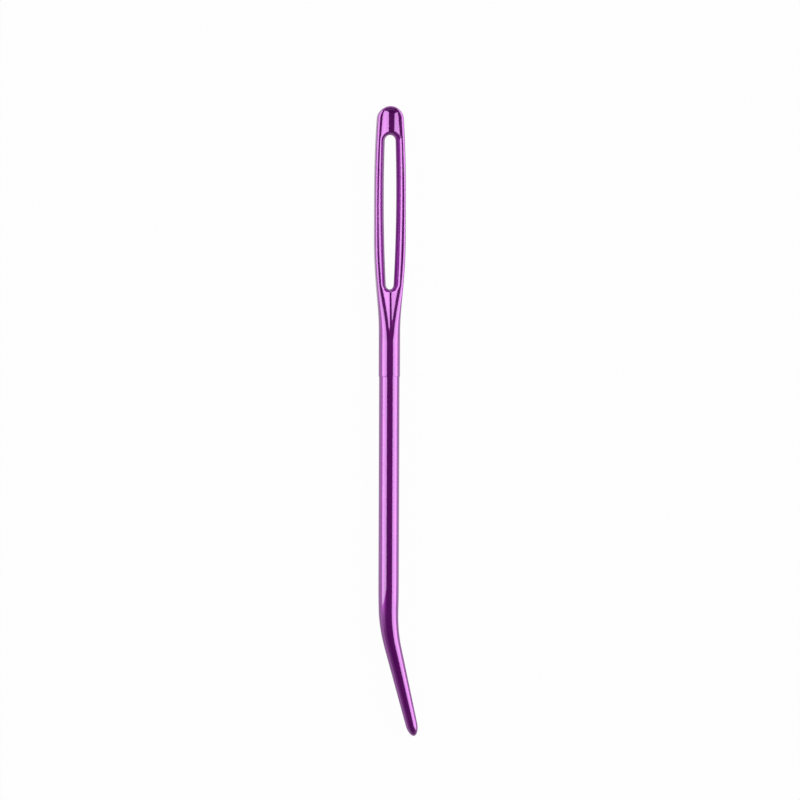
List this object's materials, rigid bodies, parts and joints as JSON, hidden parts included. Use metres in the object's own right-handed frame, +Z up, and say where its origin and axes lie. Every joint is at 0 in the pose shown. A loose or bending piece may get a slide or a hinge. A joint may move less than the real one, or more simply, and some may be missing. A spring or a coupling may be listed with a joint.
{
  "type": "yarn needle",
  "caption": "Blunt large-eye yarn needle in anodised aluminium: flat stamped head with a long guttered eye, round shank and a bent, tapered tip.",
  "frame": {"origin": "on the surface the needle lies on, under the middle of its length and of its width", "axes": "+Y along the straight shank towards the head and its eye, +X to the side the nose is bent to, +Z up through the eye, square to the flat of the head"},
  "size_m": [0.0056, 0.0788, 0.0026],
  "materials": {
    "anodised_aluminium": "polished and anodised purple, bright, with the dye slightly uneven and fine polishing lines along the wire"
  },
  "bodies": {
    "root": {"needle": "anodised_aluminium"}
  },
  "joints": []
}
